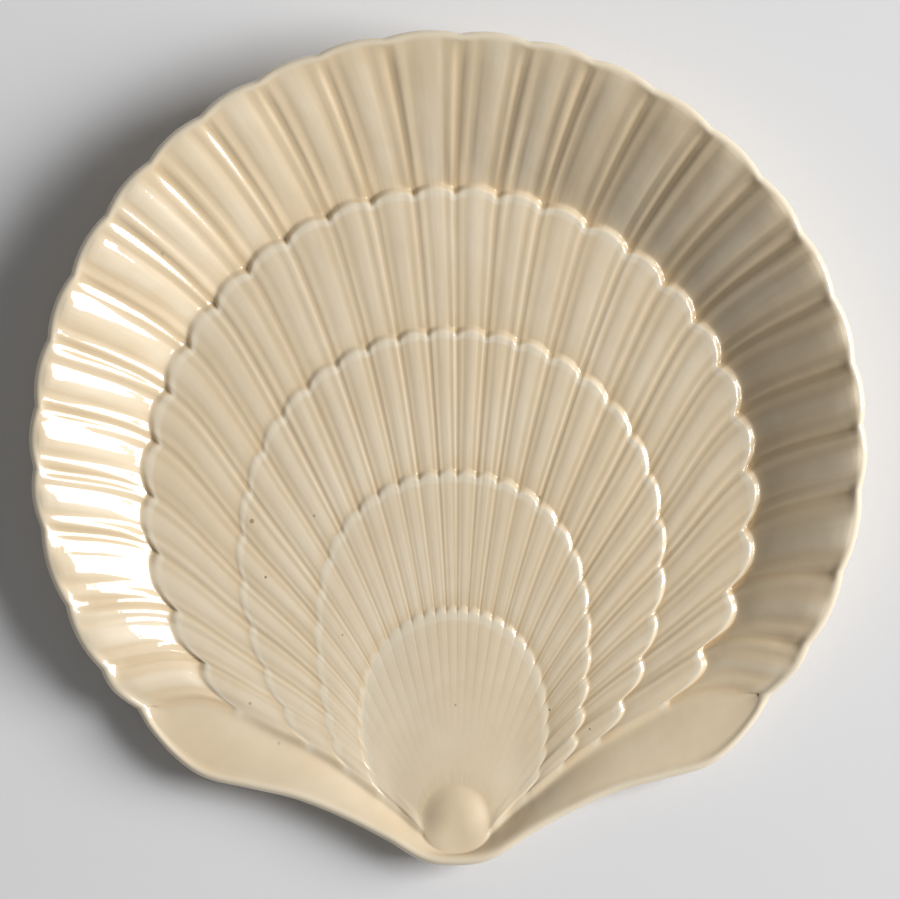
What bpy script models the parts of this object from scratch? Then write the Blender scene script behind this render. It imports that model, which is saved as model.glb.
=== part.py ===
# Scallop-shell salad plate: one moulded piece of glazed earthenware.
# Plan axes: +X to the right, +Y from the hinge end (umbo) to the crest of the fan, +Z up.
# The plate is modelled as its right half in five kinds of patch, then mirrored and closed.
# Sizes are in metres, angles in degrees where they are named.

import math

import bmesh
import bpy
from mathutils import Vector

# Outline
OUTLINE_RADIUS = 0.1045
POLE_BELOW_CENTRE = 0.0883
RIM_HEIGHT = 0.0265
HINGE_HEIGHT = 0.0112
RIM_SCALLOP = 0.0009

# Fan of ribs
LOBES = 27
FAN_FIRST_ANGLE = 40.5
FAN_SPREAD_ANGLE = 23.6
RIB_FLARE = 10.0
LAST_RIB_FLARE = 1350.0
RIB_CROWDING = 2.0
RIB_CROWDING_REACH = 0.010
RIB_EXTRA_WIDTH = 0.0014
CREASE_AT = 0.25
CREASE_SHARE = 0.36
SCALLOP_RATIO = 0.15
LOBE_LEAN = 1.1
CUSP_HOOK = 5.0
LOBE_HOOK = 6.2
SIDE_HOOK_UP_TO = 0.93

# Late turn: the side ribs hold back as far as the last lip, then turn outwards on the rim
LATE_TURN_ANGLE = 2.3
LATE_TURN_FIRST = 0.25
LATE_TURN_OVER = 0.45
LATE_TURN_STARTS = 0.52
LATE_TURN_PEAKS = 0.80

# Overlapping tiers, from the innermost to the one that meets the rim
TIER_REACH = (0.0486, 0.0832, 0.1192, 0.1550)
TIER_WAIST = (0.08, 0.19, 0.14, 0.0)
TIER_WAIST_ANGLE = (50.0, 50.0, 60.0, 60.0)
TIER_STEP = (0.0012, 0.0014, 0.0016, 0.0019)
TIER_DOMING = 1.6
TIER_CLIMB = 0.0006
TIER_STEP_LOSS = (0.8, 0.3, 0.1, 0.0)
STEP_LOSS_FROM = 0.2
STEP_LOSS_OVER = 0.45
FIRST_TIER_HASTE = 1.7
STEP_WIDTH = 0.0008
BROW_WIDTH = 0.0024
BROW_DROP = 0.00025

# Depth of the ribs as a share of their width, in each tier and on the rim
RIB_DEPTH = (0.018, 0.038, 0.056, 0.060, 0.160)
RIB_MIDDLE = 0.6
RIM_FADE = 0.1
RIM_END_FADE = 0.4
RIM_END_FROM = 0.84
RIBS_FROM = 0.010
RIBS_FULL_OVER = 0.022
LAST_GROOVE_LOSS = 0.6
LAST_GROOVE_FROM = 0.93
FOLD_CALM = 0.9
FOLD_CALM_FROM = 0.8
FOLD_CALM_INSIDE = 0.07
FOLD_CALM_OVER = 0.03

# Body
WELL_HEIGHT = 0.0066
WALL = 0.0042
RIM_EASING = 0.2
RISE_PARTS = (1.0, 0.86, 0.62, 0.34, 0.0)
RIM_BAND = 0.0026
BAND_DROP = 0.0005
LIP_THICKNESS = 0.0028
LIP_SECTION = ((0.5, 0.0), (0.0, 0.38), (0.12, 0.8), (0.42, 1.0))
FOLD_STEP = 0.0004
FOLD_WIDTH = 0.0024
FOLD_MOST = 0.3
FOLD_FADE = 0.014
RIM_SIDE_FALL = 0.0150
RIM_FALLS_FROM = 0.5
EAR_LIFT = 0.0022
EAR_LIFT_OVER = 0.068
EAR_CLIMB_FROM = 0.045
EAR_CLIMB_POWER = 2

# Umbo, the round button at the hinge
UMBO_RADIUS = 0.0088
UMBO_BELOW_POLE = 0.0045
UMBO_TOP = 0.0106
UMBO_FAN_HEIGHT = 0.0082
UMBO_HINGE_DROP = 0.0008
UMBO_ROUNDNESS = 2.6
UMBO_FAN_SIDE_ANGLE = 110.0

# Foot ring
FOOT_RADIUS = 0.058
FOOT_WIDTH = 0.0034
FOOT_TAPER = 0.0016
FOOT_FORWARD = -0.006

# Ear outline: corners of a smooth curve, from the end of the fan to the hinge, from the pole
EAR_CORNERS = (
    (0.0768, 0.0196),
    (0.0703, 0.0121),
    (0.0635, 0.0072),
    (0.0520, 0.0041),
    (0.0403, 0.0011),
    (0.0285, -0.0039),
    (0.0182, -0.0094),
    (0.0085, -0.0152),
    (0.0, -0.0164),
)

LAST_RIB = 0.995

GLAZE_COLOUR = (0.72, 0.60, 0.40, 1.0)
GLAZE_ROUGHNESS = 0.22

HALF_LOBES = LOBES / 2
HALF_FAN = math.radians(FAN_FIRST_ANGLE + FAN_SPREAD_ANGLE)
POLE = Vector((0.0, -POLE_BELOW_CENTRE))
UMBO = POLE + Vector((0.0, -UMBO_BELOW_POLE))
FOOT = Vector((0.0, FOOT_FORWARD))
MERGE = 1e-6


def blend(a, b, share):
    return a + (b - a) * share


def smooth(share):
    share = min(1.0, max(0.0, share))
    return share * share * (3 - 2 * share)


def rib_angle(w):
    """Angle from +Y of the rib at w, 0 on the plate's axis and 1 at the fold beside the fan."""
    return math.radians(FAN_FIRST_ANGLE * w + FAN_SPREAD_ANGLE * w * w)


def lobe_angle(w):
    """Angle that one lobe takes at w."""
    return math.radians(FAN_FIRST_ANGLE + 2 * FAN_SPREAD_ANGLE * w) / HALF_LOBES


def lobe_phase(w):
    """0 and 1 in the grooves either side of a lobe, 0.5 on its crest."""
    return (w * HALF_LOBES + 0.5 + 1e-9) % 1.0


def arch(t):
    return 1 - (2 * t - 1) ** 2


def rib_profile(t):
    """Height across a lobe: an arch with a broad rib between two narrow ones."""
    side = min(t, 1 - t)
    if side < CREASE_AT:
        ripple = math.sin(math.pi * side / CREASE_AT)
    else:
        ripple = math.sin(math.pi * (side - CREASE_AT) / (1 - 2 * CREASE_AT))
    return (1 - CREASE_SHARE) * arch(t) + CREASE_SHARE * ripple


def flared(w, radius):
    """Angle of rib w at a radius: ribs turn outwards, those beside the ear most of all."""
    return rib_angle(w) * (1 + RIB_FLARE * radius**2 + LAST_RIB_FLARE * w**10 * radius**4)


def outline_distance(w):
    """Distance from the pole to the round outline along rib w."""
    angle = rib_angle(w)
    for _ in range(8):
        across = POLE_BELOW_CENTRE * math.sin(angle)
        radius = POLE_BELOW_CENTRE * math.cos(angle)
        radius += math.sqrt(OUTLINE_RADIUS**2 - across**2)
        angle = flared(w, radius)
    return radius


def turned(w, radius):
    """Angle of rib w at a radius, with the late turn of the side ribs."""
    reach = radius / outline_distance(w)
    held = smooth((reach - LATE_TURN_STARTS) / (LATE_TURN_PEAKS - LATE_TURN_STARTS))
    held *= smooth((1 - reach) / (1 - LATE_TURN_PEAKS))
    held *= smooth((w - LATE_TURN_FIRST) / LATE_TURN_OVER)
    return flared(w, radius) - math.radians(LATE_TURN_ANGLE) * held


def fan_point(w, radius):
    """Plan point on rib w at a distance from the pole."""
    angle = turned(w, radius)
    angle += rib_angle(w) * RIB_CROWDING * math.exp(-radius / RIB_CROWDING_REACH)
    return POLE + Vector((math.sin(angle), math.cos(angle))) * radius


def scalloped(w, radius):
    """Radius scalloped into one lobe to each rib, cut square across the rib at the sides."""
    side = min(w, SIDE_HOOK_UP_TO) ** 6
    sagitta = SCALLOP_RATIO * radius * lobe_angle(w)
    lobe = arch(lobe_phase(w) ** (1 + LOBE_LEAN * side))
    return radius + sagitta * ((1 + LOBE_HOOK * side) * lobe - (1 + CUSP_HOOK * side))


def tier_radius(tier, w):
    """Distance from the pole to a tier's lip: a circle through the pole, drawn in at the waist."""
    angle = rib_angle(w)
    for _ in range(8):
        radius = TIER_REACH[tier] * math.cos(angle)
        turn = math.radians(90) * angle / math.radians(TIER_WAIST_ANGLE[tier])
        radius *= 1 - TIER_WAIST[tier] * math.sin(turn) ** 4
        angle = turned(w, radius)
    return scalloped(w, radius)


def rim_radius(w):
    """Distance from the pole to the scalloped edge."""
    return outline_distance(w) - RIM_SCALLOP * (1 - arch(lobe_phase(w)))


def umbo_point(w):
    """Plan point on the button's edge where rib w starts."""
    angle = math.radians(UMBO_FAN_SIDE_ANGLE) * rib_angle(w) / HALF_FAN
    return UMBO + Vector((math.sin(angle), math.cos(angle))) * UMBO_RADIUS


def umbo_edge_height(point):
    """The button's edge: down in the fan, and up on the lip at the hinge."""
    towards_hinge = (UMBO.y - point.y) / UMBO_RADIUS
    at_hinge = HINGE_HEIGHT - UMBO_HINGE_DROP
    return blend(UMBO_FAN_HEIGHT, at_hinge, smooth((towards_hinge + 1) / 2))


def tier_foot(tier):
    return WELL_HEIGHT + TIER_CLIMB * tier


def tier_level(tier, w, part):
    """Middle height of a tier. The inner tiers' lips grow less at their sides."""
    step = TIER_STEP[tier] * (1 - TIER_STEP_LOSS[tier] * smooth((w - STEP_LOSS_FROM) / STEP_LOSS_OVER))
    return tier_foot(tier) + step * (1 - (1 - part) ** TIER_DOMING)


def relief(w, radius, depth_ratio):
    """Height of the ribs about the middle level. They fade near the button and its folds."""
    calm = FOLD_CALM * smooth((w - FOLD_CALM_FROM) / (1 - FOLD_CALM_FROM))
    calm *= smooth((FOLD_CALM_INSIDE - radius) / FOLD_CALM_OVER)
    depth = depth_ratio * (radius * lobe_angle(w) + RIB_EXTRA_WIDTH) * (1 - calm)
    depth *= smooth((radius - RIBS_FROM) / RIBS_FULL_OVER)
    depth *= 1 - LAST_GROOVE_LOSS * smooth((w - LAST_GROOVE_FROM) / (1 - LAST_GROOVE_FROM))
    return depth * (rib_profile(lobe_phase(w)) - RIB_MIDDLE)


def tier_point(tier, w, part):
    """Point on a tier's surface: part 0 at its foot, 1 on the brow of its lip, 2 on its edge."""
    end = tier_radius(tier, w)
    crest = end - BROW_WIDTH
    height = tier_level(tier, w, min(1.0, part))
    if part > 1:
        radius = end - STEP_WIDTH
        place = fan_point(w, radius)
        height -= BROW_DROP
    elif tier == 0:
        radius = blend(UMBO_RADIUS, crest, part)
        place = umbo_point(w).lerp(fan_point(w, crest), part)
        height = blend(umbo_edge_height(umbo_point(w)), height, smooth(part * FIRST_TIER_HASTE))
    else:
        radius = blend(tier_radius(tier - 1, w) + STEP_WIDTH, crest, part)
        place = fan_point(w, radius)
    return place.to_3d() + Vector((0, 0, height + relief(w, radius, RIB_DEPTH[tier])))


def rim_start(w):
    return tier_radius(len(TIER_REACH) - 1, w) + STEP_WIDTH


def rim_top(w):
    """Height of the edge, which comes down towards the ears."""
    return RIM_HEIGHT - RIM_SIDE_FALL * max(0.0, (w - RIM_FALLS_FROM) / (1 - RIM_FALLS_FROM)) ** 2


def rim_rise(part):
    """Share of the rise at a part of the rim, easing towards the edge."""
    return blend(part, part * part, -RIM_EASING)


def rim_point(w, part):
    """Point on the rising rim: part 0 at the foot of the last lip, 1 at the smooth band."""
    end = rim_radius(w) - RIM_BAND
    radius = blend(rim_start(w), end, part)
    foot = tier_foot(len(TIER_REACH))
    height = blend(foot, rim_top(w) - BAND_DROP, rim_rise(part))
    fade = RIM_FADE * part + RIM_END_FADE * smooth((part - RIM_END_FROM) / (1 - RIM_END_FROM))
    height += relief(w, radius, RIB_DEPTH[-1] * (1 - fade))
    return fan_point(w, radius).to_3d() + Vector((0, 0, height))


def fan_outline(w):
    return fan_point(w, rim_radius(w))


def ear_outline(x):
    """Plan point of the ear's edge at x, on a smooth curve through its corners."""
    knots = [fan_outline(LAST_RIB), fan_outline(1.0)]
    knots += [POLE + Vector(corner) for corner in EAR_CORNERS]
    knots.append(Vector((-knots[-2].x, knots[-2].y)))
    for before, a, b, after in zip(knots, knots[1:], knots[2:], knots[3:]):
        if x >= b.x - 1e-9:
            break
    share = (a.x - x) / (a.x - b.x)
    slope_a = (b.y - before.y) / (before.x - b.x)
    slope_b = (after.y - a.y) / (a.x - after.x)
    step = a.x - b.x
    s2 = share * share
    s3 = s2 * share
    y = (2 * s3 - 3 * s2 + 1) * a.y + (3 * s2 - 2 * s3) * b.y
    y += (s3 - 2 * s2 + share) * step * slope_a + (s3 - s2) * step * slope_b
    return Vector((x, y))


def edge_height(x):
    """Height of the ear's lip, on down from the fan's edge to the hinge."""
    return blend(HINGE_HEIGHT, rim_top(1.0), smooth(max(0.0, x) / fan_outline(1.0).x))


def fan_rows():
    """Stations from the button's edge to the smooth band, as (tier, part)."""
    rows = [(0, part) for part in (0.0, 0.14, 0.34, 0.66, 1.0, 2.0)]
    for tier in range(1, len(TIER_REACH)):
        rows += [(tier, part) for part in (0.0, 0.45, 1.0, 2.0)]
    rows += [(len(TIER_REACH), part) for part in (0.0, 0.2, 0.42, 0.62, 0.82, 1.0)]
    return rows


def fan_surface(w, row):
    tier, part = row
    if tier == len(TIER_REACH):
        return rim_point(w, part)
    return tier_point(tier, w, part)


def fan_columns():
    """Stations across the ribs: groove, narrow rib, crease, broad rib, crease, narrow rib."""
    phases = (0.0, CREASE_AT / 2, CREASE_AT, 0.5, 1 - CREASE_AT, 1 - CREASE_AT / 2)
    stations = [lobe + phase for lobe in range(LOBES // 2 + 1) for phase in phases]
    stations.append(LOBES // 2 + 1)
    return [(s - 0.5) / HALF_LOBES for s in stations if s >= 0.5]


def coarse(w):
    """The nearest groove or crest, where a full set of stations would be too fine."""
    station = w * HALF_LOBES + 0.5
    return (round(station * 2) / 2 - 0.5) / HALF_LOBES


def inner_edge():
    """Points beside the ear: down the fold from the smooth band, then round the button."""
    points = [fan_surface(1.0, row) for row in reversed(fan_rows())]
    start = math.radians(UMBO_FAN_SIDE_ANGLE)
    for turn in (0.25, 0.5, 0.75, 1.0):
        angle = blend(start, math.pi, turn)
        place = UMBO + Vector((math.sin(angle), math.cos(angle))) * UMBO_RADIUS
        points.append(place.to_3d() + Vector((0, 0, umbo_edge_height(place))))
    points[-1].x = 0.0
    return points


def ear_edge(inner):
    """Plan point of the outline that stands opposite a point of the ear's inner edge."""
    first = inner_edge()[0].x
    overhang = fan_outline(1.0).x - first
    return ear_outline(inner.x + overhang * min(1.0, inner.x / UMBO_RADIUS))


def ear_foot(inner, index):
    """Height of the ear beside the fold: low by the tiers, and climbing with the rim."""
    if index >= len(fan_rows()):
        return inner.z
    radius = (inner.to_2d() - POLE).length
    low = WELL_HEIGHT - FOLD_STEP / 2 + EAR_LIFT * smooth(radius / EAR_LIFT_OVER)
    climb = max(0.0, (radius - EAR_CLIMB_FROM) / (rim_radius(1.0) - EAR_CLIMB_FROM))
    foot = blend(low, rim_top(1.0), climb**EAR_CLIMB_POWER)
    return blend(inner.z, foot, smooth((radius - UMBO_RADIUS) / FOLD_FADE))


def ear_point(inner, index, part):
    """Point on the ear, part 0 at the fold or the button and 1 at the smooth band."""
    if index == 0:
        return inner
    edge = ear_edge(inner)
    across = edge - inner.to_2d()
    length = across.length
    reach = max(0.0, length - RIM_BAND)
    distance = blend(min(FOLD_WIDTH, reach * FOLD_MOST), reach, part) if part >= 0 else 0.0
    place = inner.to_2d() + across * (distance / length)
    if part < 0:
        return place.to_3d() + Vector((0, 0, inner.z))
    top = edge_height(edge.x) - BAND_DROP
    height = blend(ear_foot(inner, index), top, rim_rise(part))
    return place.to_3d() + Vector((0, 0, height))


def patch(bm, columns, rows, place):
    """A grid whose corner in column i and row j stands at place(i, j)."""
    wide = len(columns) - 1
    tall = len(rows) - 1
    made = bmesh.ops.create_grid(bm, x_segments=wide, y_segments=tall, size=0.5)
    for vert in made["verts"]:
        i = round((vert.co.x + 0.5) * wide)
        j = round((vert.co.y + 0.5) * tall)
        vert.co = place(columns[i], rows[j])


def add_fan(bm):
    coarse_rows = 4

    def place(w, index):
        return fan_surface(coarse(w) if index < coarse_rows else w, fan_rows()[index])

    patch(bm, fan_columns(), range(len(fan_rows())), place)


def add_ear(bm):
    inner = inner_edge()

    def place(index, part):
        return ear_point(inner[index], index, part)

    patch(bm, range(len(inner)), (-1, 0.0, 0.35, 0.7, 1.0), place)


def umbo_ring():
    """Points of the button's edge from the fan's axis round to the hinge."""
    fan = [fan_surface(w, (0, 0.0)) for w in fan_columns() if abs(w - coarse(w)) < 1e-6]
    return fan + inner_edge()[len(fan_rows()) :]


def add_umbo(bm):
    ring = umbo_ring()

    def place(point, share):
        height = blend(point.z, UMBO_TOP, 1 - share**UMBO_ROUNDNESS)
        plan = UMBO.lerp(point.to_2d(), share)
        return plan.to_3d() + Vector((0, 0, height))

    patch(bm, ring, (1.0, 0.86, 0.6, 0.25), place)


def bearing(plan):
    """Angle of a plan direction from the hinge's, turning to the right."""
    return math.atan2(plan.x, -plan.y)


def outline_stations():
    """(rib, edge point, edge height, start of the rise, smooth band) all round the half."""
    stations = []
    for w in fan_columns():
        start = fan_point(w, rim_start(w))
        band = rim_point(w, 1.0)
        stations.append((w, fan_outline(w), rim_top(w), start, band))
    last_start = stations[-1][3] - FOOT
    turn = bearing(last_start) / bearing(fan_outline(1.0) - FOOT)
    for index, inner in enumerate(inner_edge()):
        if index == 0:
            continue
        edge = ear_edge(inner)
        band = ear_point(inner, index, 1.0)
        angle = bearing(edge - FOOT) * turn
        start = FOOT + Vector((math.sin(angle), -math.cos(angle))) * last_start.length
        stations.append((None, edge, edge_height(edge.x), start, band))
    return stations


def add_lip(bm):
    """The rounded lip, from the smooth band over the edge to the underside."""

    def place(station, level):
        _, edge, top, _, band = station
        if level < 0:
            return band
        inward, drop = LIP_SECTION[level]
        across = band.to_2d() - edge
        plan = edge + across * inward
        return plan.to_3d() + Vector((0, 0, top - LIP_THICKNESS * drop))

    patch(bm, outline_stations(), (-1, 0, 1, 2, 3), place)


def add_underside(bm):
    """The smooth back: the rim's underside, the foot ring and the floor inside it."""
    stations = outline_stations()
    ribs = [station for station in stations if station[0] is not None]
    pairs = [(s, min(ribs, key=lambda rib: abs(rib[0] - coarse(s[0])))) for s in ribs]
    pairs += [(s, s) for s in stations[len(ribs) :]]
    back = WELL_HEIGHT - WALL
    foot_ring = (
        (FOOT_RADIUS + FOOT_TAPER, back),
        (FOOT_RADIUS, 0.0),
        (FOOT_RADIUS - FOOT_WIDTH, 0.0),
        (FOOT_RADIUS - FOOT_WIDTH - FOOT_TAPER, back),
    )

    def place(pair, level):
        own, near = pair
        if level == 0:
            _, edge, top, _, band = own
            plan = edge + (band.to_2d() - edge) * LIP_SECTION[-1][0]
            return plan.to_3d() + Vector((0, 0, top - LIP_THICKNESS))
        _, edge, top, start, _ = near
        if level < len(RISE_PARTS):
            part = RISE_PARTS[level]
            plan = start.lerp(edge, part)
            height = blend(back, top - WALL, rim_rise(part))
            return plan.to_3d() + Vector((0, 0, height))
        radius, height = foot_ring[level - len(RISE_PARTS)]
        plan = FOOT + (start - FOOT).normalized() * radius
        return plan.to_3d() + Vector((0, 0, height))

    patch(bm, pairs, range(len(RISE_PARTS) + len(foot_ring)), place)


def plate_mesh():
    bm = bmesh.new()
    for add in (add_fan, add_ear, add_umbo, add_lip, add_underside):
        add(bm)
    bmesh.ops.remove_doubles(bm, verts=bm.verts, dist=MERGE)
    bmesh.ops.dissolve_degenerate(bm, edges=bm.edges, dist=MERGE)
    bmesh.ops.mirror(bm, geom=bm.verts[:] + bm.edges[:] + bm.faces[:], axis="X", merge_dist=MERGE)
    bmesh.ops.remove_doubles(bm, verts=bm.verts, dist=MERGE)
    bmesh.ops.holes_fill(bm, edges=bm.edges, sides=0)
    bmesh.ops.recalc_face_normals(bm, faces=bm.faces)
    mesh = bpy.data.meshes.new("plate")
    bm.to_mesh(mesh)
    bm.free()
    return mesh


for old in list(bpy.data.objects):
    bpy.data.objects.remove(old, do_unlink=True)

glaze = bpy.data.materials.new("cream_glaze")
glaze.use_nodes = True
surface = glaze.node_tree.nodes["Principled BSDF"]
surface.inputs["Base Color"].default_value = GLAZE_COLOUR
surface.inputs["Roughness"].default_value = GLAZE_ROUGHNESS
surface.inputs["Metallic"].default_value = 0.0

parts = bpy.data.collections.new("shell_salad_plate")
bpy.context.scene.collection.children.link(parts)
plate = bpy.data.objects.new("plate", plate_mesh())
parts.objects.link(plate)
plate.data.materials.append(glaze)
plate.data.shade_smooth()
plate.data.set_sharp_from_angle(angle=math.radians(50))
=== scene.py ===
import math

import bmesh
import bpy
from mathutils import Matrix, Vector


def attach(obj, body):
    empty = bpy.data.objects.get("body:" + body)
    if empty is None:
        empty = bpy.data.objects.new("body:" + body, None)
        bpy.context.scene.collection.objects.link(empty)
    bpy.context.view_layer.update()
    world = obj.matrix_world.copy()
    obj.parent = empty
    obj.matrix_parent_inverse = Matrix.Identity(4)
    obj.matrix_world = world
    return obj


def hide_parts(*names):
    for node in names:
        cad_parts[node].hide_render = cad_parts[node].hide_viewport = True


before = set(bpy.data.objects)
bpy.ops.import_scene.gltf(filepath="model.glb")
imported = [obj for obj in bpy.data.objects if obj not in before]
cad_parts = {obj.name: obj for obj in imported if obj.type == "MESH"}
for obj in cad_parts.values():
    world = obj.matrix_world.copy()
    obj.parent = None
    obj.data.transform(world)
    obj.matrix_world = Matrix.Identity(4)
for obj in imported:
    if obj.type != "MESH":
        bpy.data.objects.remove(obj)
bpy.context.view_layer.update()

# The map of the fan.
# A modeller carved the master of this plate as twenty-seven ribs that spread from the hinge, and
# the mould repeats them: every rib runs on through all the tiers to the rim. Angles are degrees.
POLE = Vector((0.0, -0.0883))
LOBES = 27
HALF_LOBES = LOBES / 2
FIRST_ANGLE = 40.5
SPREAD_ANGLE = 23.6
ROUNDING = 1e-7
WHIM_TURNS = (12.9898, 4.137, 0.7)
FLARE = 10.0
LAST_FLARE = 1350.0
LAST_FLARE_POWER = 10
CROWDING = 2.0
CROWDING_REACH = 0.010
LATE_TURN = 2.3
LATE_TURN_FROM = 0.25
LATE_TURN_WIDTH = 0.45
LATE_TURN_AT = (0.52, 0.80, 1.0)
RIM_TURN = 1.9
RIM_TURN_FROM = 0.77
RIM_TURN_POWER = 1.2
RIM_TURN_AXIS_CALM = 0.07
RIM_TURN_BACK_FROM = 0.6
RIM_TURN_BACK_OVER = 0.35
RIM_TURN_FOLD_CALM = 0.07
SKEW = -1.3
SKEW_POWER = 12
OUTLINE_RADIUS = 0.1044  # a tenth of a millimetre inside the solid's own edge
SOLVER_STEPS = 8


def blend(a, b, share):
    return a + (b - a) * share


def smooth(share):
    share = min(1.0, max(0.0, share))
    return share * share * (3 - 2 * share)


def rib_angle(w):
    """Angle from the axis of the rib at w, which is -1 and 1 at the folds beside the ears."""
    return math.radians(FIRST_ANGLE * w + SPREAD_ANGLE * w * abs(w))


def lobe_angle(w):
    return math.radians(FIRST_ANGLE + 2 * SPREAD_ANGLE * abs(w)) / HALF_LOBES


def lobe_of(w):
    """Number of the lobe at w and the place across it, 0 and 1 in the grooves."""
    station = w * HALF_LOBES + HALF_LOBES + ROUNDING
    number = min(LOBES - 1, math.floor(station))
    return number, station - number


def whim(number, turn):
    """A small difference between one carved lobe and the next, from -1 to 1."""
    by_number, by_turn, by_both = WHIM_TURNS
    return math.sin(by_number * (number + 1) + by_turn * turn + by_both * number * turn)


def flared(w, radius):
    """Angle of rib w at a radius, as it spreads: the ribs by the folds most of all."""
    last = LAST_FLARE * abs(w) ** LAST_FLARE_POWER
    return rib_angle(w) * (1 + FLARE * radius**2 + last * radius**4)


def rim_turn(w):
    """How far a rib has turned at the edge: outwards, but back towards the axis near the ears."""
    side = abs(w)
    most = 1 - math.exp(-side / RIM_TURN_AXIS_CALM)
    most *= 1 - 2 * smooth((side - RIM_TURN_BACK_FROM) / RIM_TURN_BACK_OVER)
    calm = smooth((1 - side) / RIM_TURN_FOLD_CALM)
    return math.copysign(math.radians(RIM_TURN) * most * calm, w)


def skew(w):
    """The carver's fan leans a little to the left of the outline's axis, but for its folds."""
    return math.radians(SKEW) * (1 - abs(w) ** SKEW_POWER)


rim_distances = {}


def rim_distance(w):
    """Distance from the pole to the round outline along rib w."""
    if w not in rim_distances:
        angle = abs(rib_angle(w))
        for _ in range(SOLVER_STEPS):
            across = -POLE.y * math.sin(angle)
            radius = -POLE.y * math.cos(angle) + math.sqrt(OUTLINE_RADIUS**2 - across**2)
            angle = abs(flared(w, radius) + rim_turn(w) + skew(w))
        rim_distances[w] = radius
    return rim_distances[w]


def bearing(w, radius):
    """Angle of rib w at a radius. The side ribs hold back until the last lip, then turn out."""
    near, most, end = LATE_TURN_AT
    reach = radius / rim_distance(w)
    held = smooth((reach - near) / (most - near)) * smooth((end - reach) / (end - most))
    held *= smooth((abs(w) - LATE_TURN_FROM) / LATE_TURN_WIDTH)
    on_rim = min(1.0, max(0.0, (reach - RIM_TURN_FROM) / (1 - RIM_TURN_FROM)))
    late = math.copysign(math.radians(LATE_TURN) * held, w)
    turned = rim_turn(w) * on_rim**RIM_TURN_POWER
    return flared(w, radius) - late + turned + skew(w) * min(1.0, reach) ** 2


def fan_point(w, radius):
    """Plan point on rib w at a distance from the pole."""
    angle = bearing(w, radius)
    angle += rib_angle(w) * CROWDING * math.exp(-radius / CROWDING_REACH)
    return POLE + Vector((math.sin(angle), math.cos(angle))) * radius


# The four inner tiers.
# Each is a scalloped leaf of ribs lying over the next one out, its lip a soft step of up to about
# a millimetre that glaze has rounded, with more glaze lying at its foot and painted shade added in
# the cusps there and towards the right. The last value in the lists of relief and crease is the
# rim's.
TIER_REACH = (0.0486, 0.0832, 0.1192, 0.1550)
TIER_WAIST = (0.08, 0.19, 0.14, 0.0)
TIER_WAIST_ANGLE = (50.0, 50.0, 60.0, 60.0)
TIER_WAIST_POWER = 4
TIER_STEP = (0.0012, 0.0014, 0.0016, 0.0019)
TIER_STEP_POWER = 1.6
TIER_STEP_LOSS = (0.42, 0.3, 0.32, 0.1)
STEP_LOSS_FROM = 0.2
STEP_LOSS_OVER = 0.45
LEFT_STEP_LOSS = 0.36
LEFT_LOSS_OVER = 0.5
FOLD_STEP_LOSS = 0.45
FOLD_LOSS_FROM = 0.965
FOLD_LOSS_OVER = 0.035
TIER_CLIMB = 0.0006
SCALLOP_RATIO = 0.19
LOBE_LEAN = 1.1
CUSP_HOOK = 3.1
LOBE_HOOK = 4.0
LOBE_ROUNDNESS = 2.5
SIDE_HOOK_UP_TO = 0.93
SIDE_HOOK_POWER = 6
LEFT_HOOK = 0.45
WELL_HEIGHT = 0.0066
RIB_DEPTH_RATIO = 0.085
RIB_MIDDLE = 0.6
TIER_RELIEF = (0.17, 0.40, 0.62, 0.56, 1.9)
TIER_CREASE = (0.15, 0.34, 0.42, 0.48, 0.36)
RIGHT_RELIEF = 0.25
RELIEF_FROM = 0.014
RELIEF_OVER = 0.026
RIB_EXTRA_WIDTH = 0.0014
ARCH_FLATNESS = 2.8
CREASE_AT = 0.25
CREASE_WHIM = 0.035
CREASE_SWAY = 0.02
CREASE_SWAY_TURNS = (90, 2.1)
BROAD_RIB_FLATNESS = 0.5
NARROW_RIB = 0.9
NARROW_RIB_WHIM = 0.25
LIP_FROM = 0.0012
LIP_TO = 0.0008
LIP_SKEW = 0.25
LIP_SIDES = 0.15
LIP_CLEAR_IN = 0.0032
LIP_CLEAR_OUT = 0.0019
LIP_BEAD = 0.00003
LIP_BEAD_FULL_AT = 0.07
BROW_IN = 0.0017
BROW_WIDTH = 0.0008
# The lips' brows are painted paler: partly thinner glaze, partly a painted highlight.
BROW_THIN_GLAZE_AND_HIGHLIGHT = 0.9
POOL = 0.3
# Painted shade: the pool at a lip's foot is made deeper in the cusps and grows towards the right.
POOL_AND_SHADE_IN_GROOVES = 0.7
PAINTED_SHADE_AT_RIGHT = 0.4
POOL_OUT = 0.0009
POOL_WIDTH = 0.001
POOL_GROOVE_WIDTH = 0.002
GROOVE_POWER = 4
POOL_FROM = 0.012
POOL_OVER = 0.03
lip_cache = {}


def arch(t):
    return 1 - abs(2 * t - 1) ** ARCH_FLATNESS


def tier_radius(tier, w):
    """Distance from the pole to the scalloped lip of a tier."""
    key = (tier, w)
    if key in lip_cache:
        return lip_cache[key]
    angle = abs(rib_angle(w))
    for _ in range(SOLVER_STEPS):
        radius = TIER_REACH[tier] * math.cos(angle)
        turn = math.radians(90) * angle / math.radians(TIER_WAIST_ANGLE[tier])
        radius *= 1 - TIER_WAIST[tier] * math.sin(turn) ** TIER_WAIST_POWER
        angle = abs(bearing(w, radius))
    side = min(abs(w), SIDE_HOOK_UP_TO) ** SIDE_HOOK_POWER * (1 if w > 0 else LEFT_HOOK)
    sagitta = SCALLOP_RATIO * radius * lobe_angle(w)
    t = lobe_of(w)[1]
    outward = (t if w > 0 else 1 - t) ** (1 + LOBE_LEAN * side)
    radius -= sagitta * (1 + CUSP_HOOK * side)
    radius += sagitta * (1 + LOBE_HOOK * side) * (1 - abs(2 * outward - 1) ** LOBE_ROUNDNESS)
    lip_cache[key] = radius
    return radius


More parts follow.
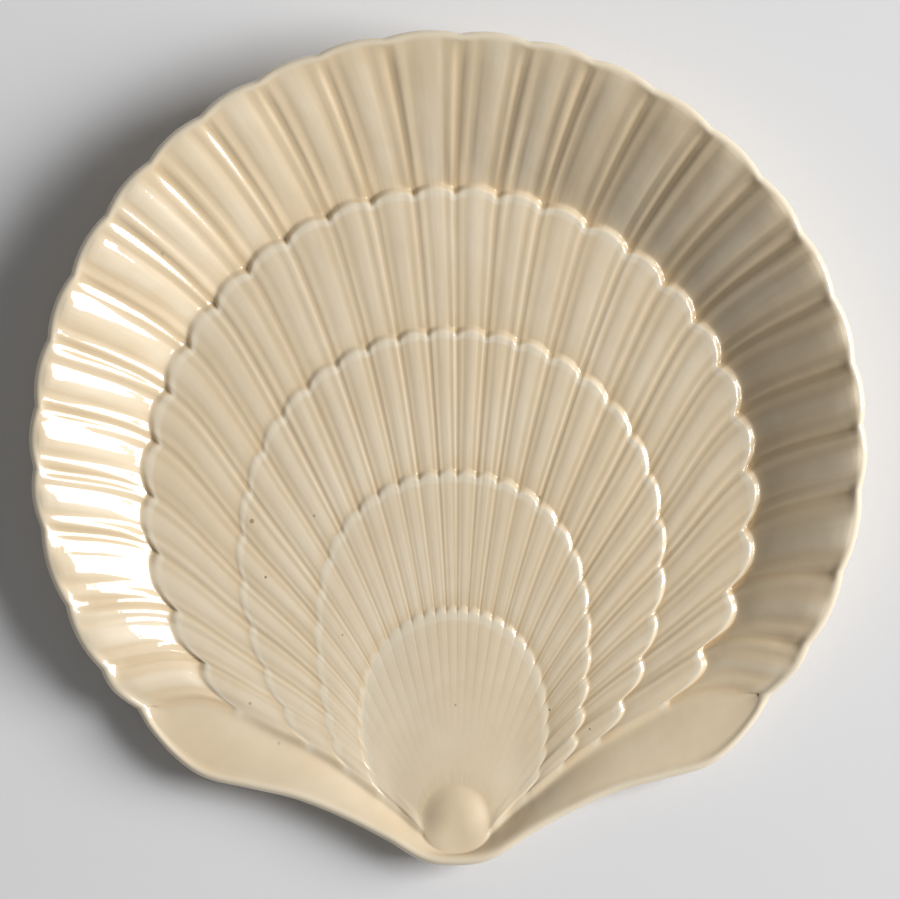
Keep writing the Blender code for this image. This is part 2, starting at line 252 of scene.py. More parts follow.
def rib_profile(w, radius, sharp):
    """Height across a lobe, 0 in the grooves: a broad rib between two narrow ones."""
    number, t = lobe_of(w)
    low = CREASE_AT + CREASE_WHIM * whim(number, 1)
    high = 1 - CREASE_AT + CREASE_WHIM * whim(number, 2)
    along, by_number = CREASE_SWAY_TURNS
    sway = CREASE_SWAY * math.sin(radius * along + by_number * number)
    low += sway
    high += sway
    if t < low:
        ripple = math.sin(math.pi * t / low) * (NARROW_RIB + NARROW_RIB_WHIM * whim(number, 3))
    elif t < high:
        inside = (t - low) / (high - low)
        ripple = math.sin(math.pi * inside) ** BROAD_RIB_FLATNESS
    else:
        beyond = (1 - t) / (1 - high)
        ripple = math.sin(math.pi * beyond) * (NARROW_RIB + NARROW_RIB_WHIM * whim(number, 4))
    return (1 - sharp) * arch(t) + sharp * ripple


def relief(w, radius, strength, sharp):
    """Carved height of the ribs above the tier's middle level, and how hollow it is there."""
    depth = RIB_DEPTH_RATIO * (radius * lobe_angle(w) + RIB_EXTRA_WIDTH) * strength
    profile = rib_profile(w, radius, sharp)
    return depth * (profile - RIB_MIDDLE), (1 - profile) * min(1.0, strength)


def tier_level(tier, part, w):
    """Height of a tier's middle level. Its lip is lower at the sides, at the left most of all."""
    step = TIER_STEP[tier]
    step *= 1 - TIER_STEP_LOSS[tier] * smooth((abs(w) - STEP_LOSS_FROM) / STEP_LOSS_OVER)
    step *= 1 - LEFT_STEP_LOSS * smooth(-w / LEFT_LOSS_OVER)
    step *= 1 - FOLD_STEP_LOSS * smooth((abs(w) - FOLD_LOSS_FROM) / FOLD_LOSS_OVER)
    return WELL_HEIGHT + TIER_CLIMB * tier + step * (1 - (1 - part) ** TIER_STEP_POWER)


def tier_relief(tier, w):
    """Strength of a tier's carving, crisper at the right."""
    return TIER_RELIEF[tier] * (1 + RIGHT_RELIEF * w)


# The hinge button.
# A low round boss where the ribs meet, part of the same pressing. Glaze has softened its foot,
# and behind it the clay runs out into the lip.
UMBO = POLE + Vector((0.0, -0.0045))
UMBO_RADIUS = 0.0088
UMBO_TOP = 0.0087
UMBO_FAN_HEIGHT = 0.0073
UMBO_FAN_SIDE = math.radians(110)
UMBO_BEHIND_DROP = 0.0018
UMBO_RISES_FROM = -0.1
UMBO_SPREAD = 1.7
HINGE_HEIGHT = 0.0112


def umbo_point(angle):
    return UMBO + Vector((math.sin(angle), math.cos(angle))) * UMBO_RADIUS


def umbo_edge_height(point):
    """Height of the ground round the button, which rises behind it."""
    behind = (UMBO.y - point.y) / UMBO_RADIUS
    risen = smooth((behind - UMBO_RISES_FROM) / (1 - UMBO_RISES_FROM))
    return blend(UMBO_FAN_HEIGHT, HINGE_HEIGHT - UMBO_BEHIND_DROP, risen)


def umbo_start(w):
    return umbo_point(UMBO_FAN_SIDE * rib_angle(w) / rib_angle(1.0))


# The fluted rim.
# The outermost tier rises about seventeen millimetres from the last lip; its flutes die away in a
# smooth band just inside the scalloped edge.
RIM_HEIGHT = 0.02645
RIM_SIDE_FALL = 0.0150
RIM_FALLS_FROM = 0.5
RIM_SCALLOP = 0.0009
RIM_BAND = 0.0026
BAND_DROP = 0.0005
RIM_COVE = 0.045
RIM_EASING = 0.2
FLUTE_AT_AXIS = 0.82
FLUTE_GAIN = 0.42
FLUTE_GAIN_OVER = 0.7
FLUTE_START = 0.6
FLUTE_START_OVER = 0.28
FLUTE_FADE = 0.1
FLUTE_END_FADE = 0.4
FLUTE_END_FROM = 0.84
EAR_CALM_FROM = (0.8, 0.95)
RIM = len(TIER_REACH)

# What the folds calm of the carving: near the button, and all the way down the last groove.
FOLD_CALM = 0.9
FOLD_CALM_FROM = 0.8
FOLD_CALM_REACH = (0.04, 0.07)
LAST_GROOVE_LOSS = 0.6
LAST_GROOVE_FROM = 0.93


def rim_radius(w):
    t = lobe_of(w)[1]
    return rim_distance(w) - RIM_SCALLOP * (2 * t - 1) ** 2


def rim_top(w):
    """Height of the edge, which comes down towards the ears."""
    fallen = max(0.0, (abs(w) - RIM_FALLS_FROM) / (1 - RIM_FALLS_FROM))
    return RIM_HEIGHT - RIM_SIDE_FALL * fallen**2


def rim_rise(part):
    """Share of the rim's height at a share of its breadth: a soft start, then nearly straight."""
    part = (part - RIM_COVE * (1 - math.exp(-part / RIM_COVE))) / (1 - RIM_COVE)
    return (1 + RIM_EASING) * part - RIM_EASING * part * part


def rim_level(w, part):
    foot = WELL_HEIGHT + TIER_CLIMB * RIM
    return blend(foot, rim_top(w) - BAND_DROP, rim_rise(max(0.0, part)))


def rim_relief(w, share):
    """Strength of the flutes: soft at the last lip, and dying away at the band and by the ears."""
    strength = TIER_RELIEF[RIM]
    strength *= FLUTE_AT_AXIS + FLUTE_GAIN * smooth(abs(w) / FLUTE_GAIN_OVER)
    strength *= blend(FLUTE_START, 1.0, smooth(share / FLUTE_START_OVER))
    at_band = smooth((share - FLUTE_END_FROM) / (1 - FLUTE_END_FROM))
    strength *= 1 - FLUTE_FADE * share - FLUTE_END_FADE * at_band
    share_from, side_from = EAR_CALM_FROM
    by_ear = smooth((abs(w) - side_from) / (1 - side_from))
    return strength * (1 - smooth((share - share_from) / (1 - share_from)) * by_ear)


def foot_pool_and_shade(w, inside):
    """Glaze that lies a little way outside a lip's foot, most of it where two lobes meet; the cusps
    and the right side are darkened further as painted shade.
    """
    gully = abs(2 * lobe_of(w)[1] - 1) ** GROOVE_POWER
    width = POOL_WIDTH + POOL_GROOVE_WIDTH * gully
    pool = (1 + PAINTED_SHADE_AT_RIGHT * w) * (POOL + POOL_AND_SHADE_IN_GROOVES * gully)
    return pool * math.exp(-(((inside - POOL_OUT) / width) ** 2))


def fold_calm(w, radius):
    """Share of the carving that is left by the folds."""
    beside = smooth((abs(w) - FOLD_CALM_FROM) / (1 - FOLD_CALM_FROM))
    near, far = FOLD_CALM_REACH
    beside *= 1 - smooth((radius - near) / (far - near))
    last = smooth((abs(w) - LAST_GROOVE_FROM) / (1 - LAST_GROOVE_FROM))
    return (1 - FOLD_CALM * beside) * (1 - LAST_GROOVE_LOSS * last)


def fan_surface(w, tier, part, beyond):
    """Point of the fan, its hollowness and its place on the rib. Part 0 and 1 are a tier's ends."""
    start = tier_radius(tier - 1, w) if tier else UMBO_RADIUS
    end = tier_radius(tier, w) if tier < RIM else rim_radius(w) - RIM_BAND
    if 0 < part < 1:
        clear_out = LIP_CLEAR_OUT if tier else 0.0
        clear_in = LIP_CLEAR_IN if tier < RIM else 0.0
        radius = blend(start + clear_out, end - clear_in, part)
    else:
        radius = blend(start, end, part) + beyond
    share = (radius - start) / (end - start)
    if tier:
        place = fan_point(w, radius)
    else:
        place = umbo_start(w).lerp(fan_point(w, end), share)
    if tier == RIM:
        height = rim_level(w, share)
        strength = rim_relief(w, share)
    else:
        height = tier_level(tier, min(1.0, max(0.0, share)), w)
        strength = tier_relief(tier, w)
        if tier == 0:
            foot = umbo_edge_height(umbo_start(w))
            height = blend(foot, height, smooth(share * UMBO_SPREAD))
    pool = 0.0
    breadth = 1 - LIP_SKEW * w + LIP_SIDES * w * w
    lip_from, lip_to = LIP_FROM * breadth, LIP_TO * breadth
    if tier:
        inside = radius - start
        fallen = smooth((inside + lip_from) / (lip_from + lip_to))
        height = blend(tier_level(tier - 1, 1.0, w), height, fallen)
        strength = blend(tier_relief(tier - 1, w), strength, fallen)
        # Glaze pooled outside the lip's foot, with painted shade in the cusps and towards the
        # right.
        pool = foot_pool_and_shade(w, inside)
    if tier < RIM:
        outside = radius - end
        fallen = smooth((outside + lip_from) / (lip_from + lip_to))
        rim_next = tier + 1 == RIM
        height_next = rim_level(w, 0.0) if rim_next else tier_level(tier + 1, 0.0, w)
        strength_next = rim_relief(w, 0.0) if rim_next else tier_relief(tier + 1, w)
        height = blend(height, height_next, fallen)
        strength = blend(strength, strength_next, fallen)
        brow = math.exp(-(((outside + BROW_IN) / BROW_WIDTH) ** 2))
        height += LIP_BEAD * (1 + w) * min(1.0, radius / LIP_BEAD_FULL_AT) * brow
        # Brow painted paler: thinner glaze there, and a painted highlight along the lip.
        pool -= BROW_THIN_GLAZE_AND_HIGHLIGHT * brow
    strength *= smooth((radius - RELIEF_FROM) / RELIEF_OVER) * fold_calm(w, radius)
    rise, hollow = relief(w, radius, strength, TIER_CREASE[tier])
    hollow += pool * smooth((radius - POOL_FROM) / POOL_OVER)
    point = place.to_3d() + Vector((0, 0, height + rise))
    return point, hollow, (w * HALF_LOBES, radius, min(1.0, strength))


# Stations along a rib: millimetres before and past each lip, close together over it, and evenly
# spaced steps between. The first before a lip and the last past it are the lip's clearances.
BEFORE_LIP = (3.2, 2.5, 2.0, 1.6, 1.25, 0.95, 0.65, 0.35)
PAST_LIP = (0.0, 0.3, 0.6, 0.9, 1.3, 1.9)
TIER_STEPS = (11, 9, 9, 9)
RIM_STEPS = 15
ACROSS_LOBE = 14
fan_rows = [(0, 0.0, 0.0)]
for tier, steps in enumerate(TIER_STEPS):
    fan_rows += [(tier, step / steps, 0.0) for step in range(1, steps)]
    fan_rows += [(tier, 1.0, -distance / 1000) for distance in BEFORE_LIP]
    fan_rows += [(tier + 1, 0.0, distance / 1000) for distance in PAST_LIP]
fan_rows += [(RIM, step / RIM_STEPS, 0.0) for step in range(1, RIM_STEPS)] + [(RIM, 1.0, 0.0)]
fan_columns = [step / (ACROSS_LOBE * HALF_LOBES) - 1 for step in range(ACROSS_LOBE * LOBES + 1)]


# The ears.
# Either side of the button the fan ends at a fold in the pressing, and a plain, smooth panel runs
# from it up to the edge, narrowing towards the hinge. The corners are metres from the pole.
EAR_CORNERS = (
    (0.0768, 0.0196),
    (0.0703, 0.0121),
    (0.0635, 0.0072),
    (0.0520, 0.0041),
    (0.0403, 0.0011),
    (0.0285, -0.0039),
    (0.0182, -0.0094),
    (0.0085, -0.0152),
    (0.0, -0.0164),
)
FOLD_STEP = 0.0004
EAR_LIFT = 0.0022
EAR_LIFT_OVER = 0.068
EAR_CLIMB_FROM = 0.045
FOLD_WIDTH = 0.0024
FOLD_SHARE = 0.3
FOLD_GROWS_OVER = 0.014
FOLD_POOL = 0.15
FOLD_POOL_WIDTH = 0.0016
FOLD_POOL_FULL_AT = 0.0008
EAR_HOLLOW = 0.12
BEHIND_HOLLOW = 0.25
BEHIND_STEPS = 12
NEARLY_NONE = 1e-5
NOT_CARVED = (0.0, 0.0, 0.0)
BEFORE_FOLD = 0.995
ear_end = fan_point(1.0, rim_radius(1.0))
ear_knots = [fan_point(BEFORE_FOLD, rim_radius(BEFORE_FOLD)), ear_end]
ear_knots += [POLE + Vector(corner) for corner in EAR_CORNERS]
ear_knots.append(Vector((-ear_knots[-2].x, ear_knots[-2].y)))


def ear_outline(x):
    """Plan point of the right ear's edge at x, on a smooth curve through its corners."""
    for before, a, b, after in zip(ear_knots, ear_knots[1:], ear_knots[2:], ear_knots[3:]):
        if x >= b.x - ROUNDING:
            break
    share = (a.x - x) / (a.x - b.x)
    step = a.x - b.x
    slope_a = (b.y - before.y) / (before.x - b.x) * step
    slope_b = (after.y - a.y) / (a.x - after.x) * step
    s2 = share * share
    s3 = s2 * share
    y = (2 * s3 - 3 * s2 + 1) * a.y + (3 * s2 - 2 * s3) * b.y
    return Vector((x, y + (s3 - 2 * s2 + share) * slope_a + (s3 - s2) * slope_b))


def edge_height(x):
    """Height of the ear's lip, on down from the fan's edge to the hinge."""
    return blend(HINGE_HEIGHT, rim_top(1.0), smooth(max(0.0, x) / ear_end.x))


def fold_foot(radius):
    """Height of the ear beside the fold: low by the tiers, and climbing with the rim."""
    low = WELL_HEIGHT - FOLD_STEP / 2 + EAR_LIFT * smooth(radius / EAR_LIFT_OVER)
    climb = max(0.0, (radius - EAR_CLIMB_FROM) / (rim_distance(1.0) - EAR_CLIMB_FROM))
    return blend(low, rim_top(1.0) - BAND_DROP, climb**2)


def fold_points(side):
    """Down the fold from the smooth band, then round the button: point, foot, hollowness, rib."""
    points = []
    for tier, part, beyond in reversed(fan_rows):
        point, hollow, rib = fan_surface(side, tier, part, beyond)
        grown = smooth((rib[1] - UMBO_RADIUS) / FOLD_GROWS_OVER)
        points.append((point, blend(point.z, fold_foot(rib[1]), grown), hollow, rib))
    for step in range(1, BEHIND_STEPS + 1):
        plan = umbo_point(blend(UMBO_FAN_SIDE, math.pi, step / BEHIND_STEPS))
        if step == BEHIND_STEPS:
            plan.x = 0.0
        plan.x *= side
        height = umbo_edge_height(plan)
        point = plan.to_3d() + Vector((0, 0, height))
        points.append((point, height, BEHIND_HOLLOW, NOT_CARVED))
    return points


def ear_edge(point, side):
    """Plan point of the ear's edge that is level with a point of the fold."""
    overhang = ear_end.x - abs(fan_surface(1.0, RIM, 1.0, 0.0)[0].x)
    x = abs(point.x)
    edge = ear_outline(x + overhang * min(1.0, x / UMBO_RADIUS))
    return Vector((edge.x * side, edge.y))


def ear_point(station, side, part):
    """Point on the ear, part 0 at the fold or the button and 1 at the smooth band."""
    inner, foot, hollow, (across_rib, along, carved) = station
    edge = ear_edge(inner, side)
    across = edge - inner.to_2d()
    reach = max(0.0, across.length - RIM_BAND)
    if reach < NEARLY_NONE:
        return inner.copy(), hollow, (across_rib, along, carved)
    fold = min(FOLD_WIDTH, reach * FOLD_SHARE)
    distance = reach * part
    place = inner.to_2d() + across * (distance / across.length)
    top = edge_height(abs(edge.x)) - BAND_DROP
    height = blend(foot, top, rim_rise(max(0.0, distance - fold) / (reach - fold)))
    down = smooth(distance / fold)
    height = blend(inner.z, height, down)
    pool = FOLD_POOL * smooth((inner.z - foot) / FOLD_POOL_FULL_AT)
    pool *= math.exp(-(((distance - fold) / FOLD_POOL_WIDTH) ** 2))
    hollow = blend(hollow, EAR_HOLLOW, down) + pool
    return place.to_3d() + Vector((0, 0, height)), hollow, (across_rib, along, carved * (1 - down))


# The body of the plate, put together from its surfaces.
# One pressing in earthenware about four millimetres thick; here every surface is a grid that
# is laid on the form, and their common edges are then joined.
EAR_PARTS = (0.0, 0.03, 0.06, 0.1, 0.15, 0.2, 0.27, 0.35, 0.44, 0.54, 0.64, 0.74, 0.83, 0.92, 1.0)
body = bmesh.new()
hollow_layer = body.verts.layers.float.new("hollow")
rib_layer = body.verts.layers.float_vector.new("rib")


def lay_grid(columns, rows, place):
    """A grid whose corner in a column and a row stands where place(column, row) says."""
    wide = len(columns) - 1
    tall = len(rows) - 1
    made = bmesh.ops.create_grid(body, x_segments=wide, y_segments=tall, size=0.5)
    for vert in made["verts"]:
        i = round((vert.co.x + 0.5) * wide)
        j = round((vert.co.y + 0.5) * tall)
        vert.co, vert[hollow_layer], vert[rib_layer] = place(columns[i], rows[j])


lay_grid(fan_columns, fan_rows, lambda w, row: fan_surface(w, *row))

folds = {side: fold_points(side) for side in (1, -1)}
for side in (1, -1):
    lay_grid(folds[side], EAR_PARTS, lambda station, part: ear_point(station, side, part))

# The button's top, in rings that close in from its foot.
BUTTON_RINGS = (1.0, 0.95, 0.9, 0.84, 0.77, 0.68, 0.57, 0.44, 0.3, 0.15)
BUTTON_ROUNDNESS = 1.7
BUTTON_HOLLOW = 0.1
SEAM_POOL = 0.5
SEAM_WIDTH = 0.1
SEAM_POOL_FULL_AT = 0.002
button_ring = [fan_surface(w, 0, 0.0, 0.0)[0] for w in fan_columns]
button_ring += [station[0] for station in folds[1][len(fan_rows) :]]
button_ring += [station[0] for station in folds[-1][-2 : len(fan_rows) - 1 : -1]]
button_ring.append(button_ring[0])


def button_point(point, share):
    height = blend(point.z, UMBO_TOP, 1 - smooth(share**BUTTON_ROUNDNESS))
    plan = UMBO.lerp(point.to_2d(), share)
    seam = SEAM_POOL * math.exp(-(((share - 1.0) / SEAM_WIDTH) ** 2))
    seam *= smooth((UMBO_TOP - point.z) / SEAM_POOL_FULL_AT)
    return plan.to_3d() + Vector((0, 0, height)), BUTTON_HOLLOW + seam, NOT_CARVED


lay_grid(button_ring, BUTTON_RINGS, button_point)

# The lip and the back.
# The edge is sponged round before the first firing. The back follows the front at the wall's
# thickness and stands on a low turned ring, whose face is wiped bare so that it doesn't stick.
WALL = 0.0042
LIP_THICKNESS = 0.0028
LIP_ROUNDNESS = 1.6
LIP_CREST_AT = 0.5
LIP_PALENESS = -0.25
LIP_TURNS = (-1, -0.66, -0.33, 0, 0.12, 0.24, 0.36, 0.48, 0.6, 0.72, 0.85, 1)
FOOT = Vector((0.0, -0.006))
FOOT_RADIUS = 0.058
FOOT_WIDTH = 0.0034
FOOT_TAPER = 0.0016
FOOT_COVE_DROP = 0.00012
FOOT_HOLLOW = 0.3
HOLLOW_ABOVE = 0.9
RISE_PARTS = (0.92, 0.84, 0.75, 0.66, 0.57, 0.48, 0.39, 0.3, 0.22, 0.14, 0.07, 0.0)

# Stations all round the edge: outline point, lip height, start of the rise underneath, band.
edge_stations = []
for w in fan_columns:
    start = fan_point(w, tier_radius(RIM - 1, w) + LIP_TO)
    edge = fan_point(w, rim_radius(w))
    edge_stations.append((edge, rim_top(w), start, fan_surface(w, RIM, 1.0, 0.0)))
last_start = fan_point(1.0, tier_radius(RIM - 1, 1.0) + LIP_TO) - FOOT
angle_share = math.atan2(last_start.x, -last_start.y) / math.atan2(ear_end.x, FOOT.y - ear_end.y)
around = {}
for side in (1, -1):
    around[side] = []
    for station in folds[side][1:]:
        edge = ear_edge(station[0], side)
        angle = math.atan2(edge.x, FOOT.y - edge.y) * angle_share
        start = FOOT + Vector((math.sin(angle), -math.cos(angle))) * last_start.length
        band = ear_point(station, side, 1.0)
        around[side].append((edge, edge_height(abs(edge.x)), start, band))
edge_stations += around[1] + around[-1][-2::-1]
edge_stations.append(edge_stations[0])


def lip_point(station, turn):
    """Round the lip, from the band at -1 over the crest at 0 to the underside at 1."""
    edge, top, _, (band, hollow, rib) = station
    if turn <= -1:
        return band, hollow, rib
    across = band.to_2d() - edge
    if turn < 0:
        plan = edge + across * blend(LIP_CREST_AT, 1.0, -turn)
        height = blend(top, band.z, (-turn) ** LIP_ROUNDNESS)
        rib = (rib[0], rib[1], -turn * rib[2])
        return plan.to_3d() + Vector((0, 0, height)), blend(LIP_PALENESS, hollow, -turn), rib
    plan = edge + across * LIP_CREST_AT * (1 - math.sin(math.pi * turn))
    height = top - LIP_THICKNESS / 2 * (1 - math.cos(math.pi * turn))
    return plan.to_3d() + Vector((0, 0, height)), LIP_PALENESS, NOT_CARVED


lay_grid(edge_stations, LIP_TURNS, lip_point)

# The ring's section on one side, from the back down: tapers out from its wall, and the height.
back = WELL_HEIGHT - WALL
inner_radius = FOOT_RADIUS - FOOT_WIDTH
ring_side = (
    (2.2, back),
    (1.1, back - FOOT_COVE_DROP),
    (0.7, back * 0.72),
    (0.32, back * 0.34),
    (0.12, back * 0.1),
    (-0.2, 0.0),
)
foot_profile = [(FOOT_RADIUS + out * FOOT_TAPER, height) for out, height in ring_side]
foot_profile += [(inner_radius - out * FOOT_TAPER, height) for out, height in ring_side[::-1]]


def back_point(station, row):
    """The smooth back: the underside of the rim, then the foot ring."""
    edge, top, start, _ = station
    if row == 0:
        return lip_point(station, 1)
    if row <= len(RISE_PARTS):
        part = RISE_PARTS[row - 1]
        plan = start.lerp(edge, part)
        height = blend(back, top - WALL, rim_rise(part))
        return plan.to_3d() + Vector((0, 0, height)), 0.0, NOT_CARVED
    radius, height = foot_profile[row - 1 - len(RISE_PARTS)]
    plan = FOOT + (start - FOOT).normalized() * radius
    hollow = FOOT_HOLLOW if height > back * HOLLOW_ABOVE else 0.0
    return plan.to_3d() + Vector((0, 0, height)), hollow, NOT_CARVED


lay_grid(edge_stations, range(1 + len(RISE_PARTS) + len(foot_profile)), back_point)

# The grids' common edges are joined, and the button's middle and the base within the ring closed.
SAME_POINT = 1.2e-5
NO_LENGTH = 1e-6
bmesh.ops.remove_doubles(body, verts=body.verts, dist=SAME_POINT)
bmesh.ops.dissolve_degenerate(body, edges=body.edges, dist=NO_LENGTH)
bmesh.ops.holes_fill(body, edges=body.edges, sides=0)
bmesh.ops.recalc_face_normals(body, faces=body.faces)
plate_mesh = bpy.data.meshes.new("plate_glazed")
body.to_mesh(plate_mesh)
body.free()
plate_mesh.shade_smooth()
plate = bpy.data.objects.new("plate_glazed", plate_mesh)
bpy.context.scene.collection.objects.link(plate)

# The glaze.
# Cream lead-free glaze over a buff clay: thin and pale on the crests, thicker and honey-coloured
# in the grooves and at the foot of each lip, where the honey also carries painted shade in the
# cusps and towards the right, with a few pinholes and specks where dust lay.
CREST_CREAM = (0.840, 0.725, 0.545, 1.0)
BODY_CREAM = (0.762, 0.606, 0.400, 1.0)
# The honey tone serves both for pooled glaze and for painted shade in the cusps and towards the
# right.
HONEY_POOL_AND_SHADE = (0.640, 0.465, 0.255, 1.0)
BARE_CLAY = (0.620, 0.500, 0.360, 1.0)
GLAZE_IOR = 1.5
COAT_IOR = 1.6
COAT_ROUGHNESS = 0.025
COAT_WEIGHT = 0.9
NOISE_MIDDLE = (0.3, 0.7)
CLOUD_SCALE = 38.0
CLOUD_SPREAD = 0.12
STROKES_TO_LOBE = 3.4
STROKES_TO_METRE = 30.0
STROKE_COLOUR = 0.6
PALE_TO_PLAIN = (-0.3, 0.35)
PLAIN_TO_HONEY = (0.25, 1.25)
MOST_HONEY = 0.62
glaze = bpy.data.materials.new("cream_glaze")
glaze.use_nodes = True
nodes = glaze.node_tree.nodes
links = glaze.node_tree.links
surface = nodes["Principled BSDF"]
surface.inputs["IOR"].default_value = GLAZE_IOR
surface.inputs["Coat Roughness"].default_value = COAT_ROUGHNESS
surface.inputs["Coat IOR"].default_value = COAT_IOR


def node(kind, **settings):
    made = nodes.new(kind)
    for name, value in settings.items():
        setattr(made, name, value)
    return made


def mapped(source, low, high, to_low, to_high):
    """The source's value moved from one range to another, held at its ends."""
    made = node("ShaderNodeMapRange", interpolation_type="SMOOTHSTEP")
    links.new(source, made.inputs["Value"])
    ends = {"From Min": low, "From Max": high, "To Min": to_low, "To Max": to_high}
    for name, value in ends.items():
        made.inputs[name].default_value = value
    return made.outputs["Result"]


def mixed(share, first, second):
    """Two colours, mixed by a share that is a socket."""
    made = node("ShaderNodeMix", data_type="RGBA")
    links.new(share, made.inputs["Factor"])
    for socket, value in ((made.inputs[6], first), (made.inputs[7], second)):
        if isinstance(value, tuple):
            socket.default_value = value
        else:
            links.new(value, socket)
    return made.outputs[2]


def combined(operation, first, second):
    made = node("ShaderNodeMath", operation=operation)
    for socket, value in zip(made.inputs, (first, second)):
        if isinstance(value, float):
            socket.default_value = value
        else:
            links.new(value, socket)
    return made.outputs["Value"]


def noise(scale, detail=2.0, roughness=0.5):
    made = node("ShaderNodeTexNoise")
    links.new(place, made.inputs["Vector"])
    made.inputs["Scale"].default_value = scale
    made.inputs["Detail"].default_value = detail
    made.inputs["Roughness"].default_value = roughness
    return made.outputs["Fac"]


place = node("ShaderNodeTexCoord").outputs["Object"]
hollow = node("ShaderNodeAttribute", attribute_name="hollow").outputs["Fac"]
cloud = noise(CLOUD_SCALE, detail=3.0)
rib = node("ShaderNodeSeparateXYZ")
links.new(node("ShaderNodeAttribute", attribute_name="rib").outputs["Vector"], rib.inputs[0])
stroke_place = node("ShaderNodeCombineXYZ")
links.new(combined("MULTIPLY", rib.outputs["X"], STROKES_TO_LOBE), stroke_place.inputs["X"])
links.new(combined("MULTIPLY", rib.outputs["Y"], STROKES_TO_METRE), stroke_place.inputs["Y"])
stroke = node("ShaderNodeTexNoise")
links.new(stroke_place.outputs[0], stroke.inputs["Vector"])
stroke.inputs["Scale"].default_value = 1.0
stroke.inputs["Detail"].default_value = 2.0
carved = rib.outputs["Z"]
strokes = combined("MULTIPLY", combined("SUBTRACT", 0.5, stroke.outputs["Fac"]), carved)
# Hollowness: pooled glaze, with painted shade in the cusps and towards the right, and painted
# highlight on the lips' brows.
pool_shade_and_sheen = combined("ADD", hollow, mapped(cloud, *NOISE_MIDDLE, -CLOUD_SPREAD, CLOUD_SPREAD))
pool_shade_and_sheen = combined("ADD", pool_shade_and_sheen, combined("MULTIPLY", strokes, STROKE_COLOUR))
crest = mapped(pool_shade_and_sheen, *PALE_TO_PLAIN, 1.0, 0.0)
honey_and_shade = mapped(pool_shade_and_sheen, *PLAIN_TO_HONEY, 0.0, MOST_HONEY)
colour = mixed(crest, BODY_CREAM, CREST_CREAM)
colour = mixed(honey_and_shade, colour, HONEY_POOL_AND_SHADE)

# Pinholes and specks in the glaze, near where the plate has its own: x and y, radius, strength.
SPECKS = (
    (-0.0500, -0.0170, 0.00085, 0.75),
    (-0.0468, -0.0312, 0.00050, 0.85),
    (-0.0343, -0.0160, 0.00055, 0.50),
    (-0.0706, 0.0504, 0.00070, 0.35),
    (-0.0514, -0.0629, 0.00060, 0.45),
    (-0.0444, -0.0731, 0.00060, 0.30),
    (-0.0278, -0.0462, 0.00045, 0.45),
    (0.0226, -0.0125, 0.00060, 0.60),
    (0.0240, -0.0662, 0.00045, 0.80),
    (0.0340, -0.0712, 0.00045, 0.60),
    (0.0003, -0.0645, 0.00045, 0.50),
)
SPECK_BROWN = (0.270, 0.200, 0.110, 1.0)
SPECK_HEART = 0.35
TOPSIDE_ABOVE = (0.0045, 0.0055)
flat = node("ShaderNodeVectorMath", operation="MULTIPLY")
links.new(place, flat.inputs[0])
flat.inputs[1].default_value = (1.0, 1.0, 0.0)
speckled = None
for x, y, radius, strength in SPECKS:
    away = node("ShaderNodeVectorMath", operation="DISTANCE")
    links.new(flat.outputs["Vector"], away.inputs[0])
    away.inputs[1].default_value = (x, y, 0.0)
    spot = mapped(away.outputs["Value"], radius * SPECK_HEART, radius, strength, 0.0)
    speckled = spot if speckled is None else combined("MAXIMUM", speckled, spot)
apart = node("ShaderNodeSeparateXYZ")
links.new(place, apart.inputs[0])
topside = mapped(apart.outputs["Z"], *TOPSIDE_ABOVE, 0.0, 1.0)
speckled = combined("MULTIPLY", speckled, topside)
colour = mixed(speckled, colour, SPECK_BROWN)

# The foot's wiped edge is bare, rough clay; everywhere else the glaze is satin under a gloss.
WIPED_BELOW = (0.00025, 0.00055)
CLAY_ROUGHNESS = 0.75
GLAZE_ROUGHNESS = (0.36, 0.50)
SATIN_SCALE = 140.0
wiped = mapped(apart.outputs["Z"], *WIPED_BELOW, 1.0, 0.0)
colour = mixed(wiped, colour, BARE_CLAY)
links.new(colour, surface.inputs["Base Color"])

satin = noise(SATIN_SCALE, detail=4.0, roughness=0.6)
satin = mapped(satin, *NOISE_MIDDLE, *GLAZE_ROUGHNESS)
rough = combined("MAXIMUM", satin, combined("MULTIPLY", wiped, CLAY_ROUGHNESS))
links.new(rough, surface.inputs["Roughness"])
links.new(mapped(wiped, 0.0, 1.0, COAT_WEIGHT, 0.0), surface.inputs["Coat Weight"])


def bumped(height, strength, distance, under=None, invert=False):
    """The normal under it, changed by a height that is a socket. The distance is in metres."""
    made = node("ShaderNodeBump", invert=invert)
    made.inputs["Strength"].default_value = strength
    made.inputs["Distance"].default_value = distance
    links.new(height, made.inputs["Height"])
    if under is not None:
        links.new(under, made.inputs["Normal"])
    return made.outputs["Normal"]


# From wide to fine: the glaze's swell, the modeller's tool strokes, orange peel, and the pits,
# each with its strength and its distance.
SWELL = (0.35, 0.0006)
SWELL_SCALE = 75.0
TOOLED = (0.24, 0.0006)
PEEL = (0.16, 0.00012)
PEEL_SCALE = 620.0
PITS = (0.5, 0.0002)
swell = bumped(noise(SWELL_SCALE), *SWELL)
tooled = bumped(strokes, *TOOLED, under=swell, invert=True)
peel = bumped(noise(PEEL_SCALE), *PEEL, under=tooled)
pits = bumped(speckled, *PITS, under=peel, invert=True)
links.new(pits, surface.inputs["Normal"])
links.new(peel, surface.inputs["Coat Normal"])

plate.data.materials.append(glaze)
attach(plate, "root")
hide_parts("plate")

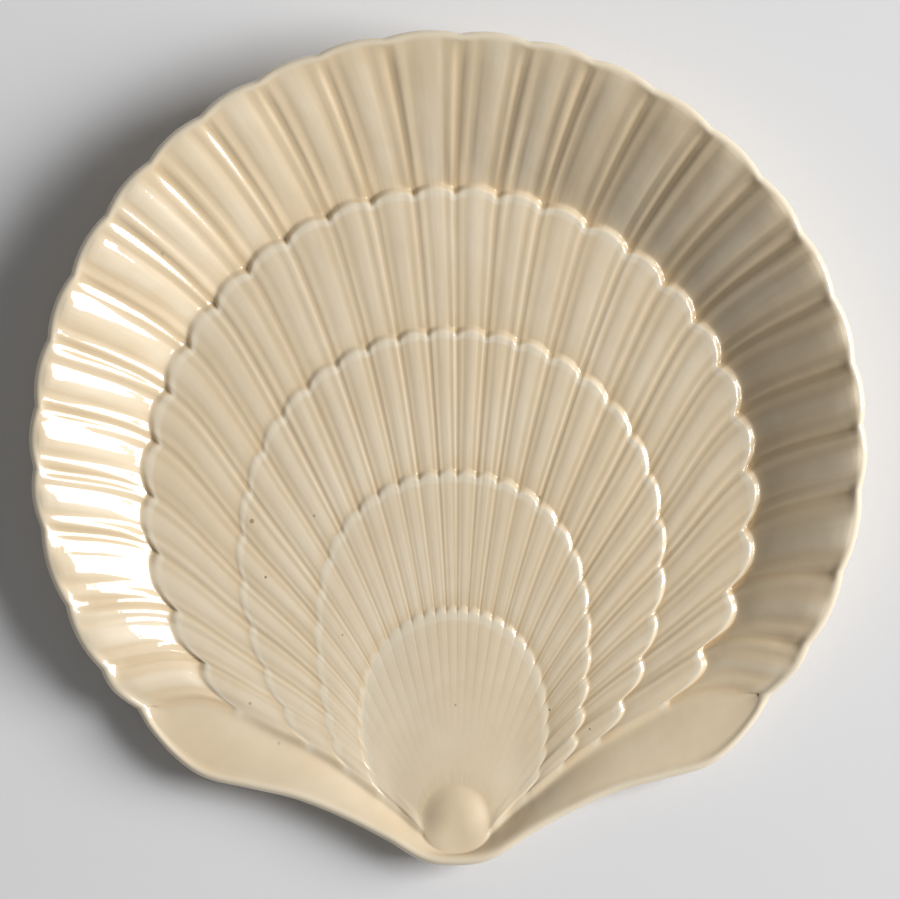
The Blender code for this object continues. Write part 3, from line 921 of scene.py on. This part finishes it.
# The studio.
# A pale paper floor, one large soft box low on the right, and a weak even light all round.
FLOOR_HALF = 3.0
PAPER_GREY = (0.78, 0.78, 0.79, 1.0)
PAPER_ROUGHNESS = 0.9
floor_mesh = bpy.data.meshes.new("studio_floor")
sheet = bmesh.new()
bmesh.ops.create_grid(sheet, x_segments=1, y_segments=1, size=FLOOR_HALF)
sheet.to_mesh(floor_mesh)
sheet.free()
floor = bpy.data.objects.new("studio_floor", floor_mesh)
bpy.context.scene.collection.objects.link(floor)
paper = bpy.data.materials.new("studio_paper")
paper.use_nodes = True
matt = paper.node_tree.nodes["Principled BSDF"]
matt.inputs["Base Color"].default_value = PAPER_GREY
matt.inputs["Roughness"].default_value = PAPER_ROUGHNESS
floor_mesh.materials.append(paper)

BOX_PLACE = (2.16, 0.21, 1.50)
BOX_WIDTH = 1.35
BOX_HEIGHT = 1.65
BOX_WATTS = 91.0
soft_box = bpy.data.lights.new("soft_box", "AREA")
soft_box.shape = "RECTANGLE"
soft_box.size = BOX_WIDTH
soft_box.size_y = BOX_HEIGHT
soft_box.energy = BOX_WATTS
soft_box_holder = bpy.data.objects.new("soft_box", soft_box)
soft_box_holder.location = BOX_PLACE
soft_box_holder.rotation_euler = (-Vector(BOX_PLACE)).to_track_quat("-Z", "Y").to_euler()
bpy.context.scene.collection.objects.link(soft_box_holder)

AIR_STRENGTH = 0.16
world = bpy.data.worlds.new("studio_air")
world.use_nodes = True
world.node_tree.nodes["Background"].inputs["Color"].default_value = (1.0, 1.0, 1.0, 1.0)
world.node_tree.nodes["Background"].inputs["Strength"].default_value = AIR_STRENGTH
bpy.context.scene.world = world

# The camera looks straight down, turned a little as in the photograph. The view's width is taken
# at a height between the highest and the lowest part of the edge.
CAMERA_HEIGHT = 1.2
CAMERA_ASIDE = 0.0004
CAMERA_ROLL = -1.2
VIEW_WIDTH = 0.2246
VIEW_WIDTH_AT = 0.02
SENSOR = 36.0
camera = bpy.data.cameras.new("camera")
camera.sensor_width = SENSOR
camera.lens = SENSOR * (CAMERA_HEIGHT - VIEW_WIDTH_AT) / VIEW_WIDTH
camera_holder = bpy.data.objects.new("camera", camera)
camera_holder.location = (CAMERA_ASIDE, 0.0, CAMERA_HEIGHT)
camera_holder.rotation_euler = (0.0, 0.0, math.radians(CAMERA_ROLL))
bpy.context.scene.collection.objects.link(camera_holder)
bpy.context.scene.camera = camera_holder

bpy.context.scene.view_settings.view_transform = "Standard"
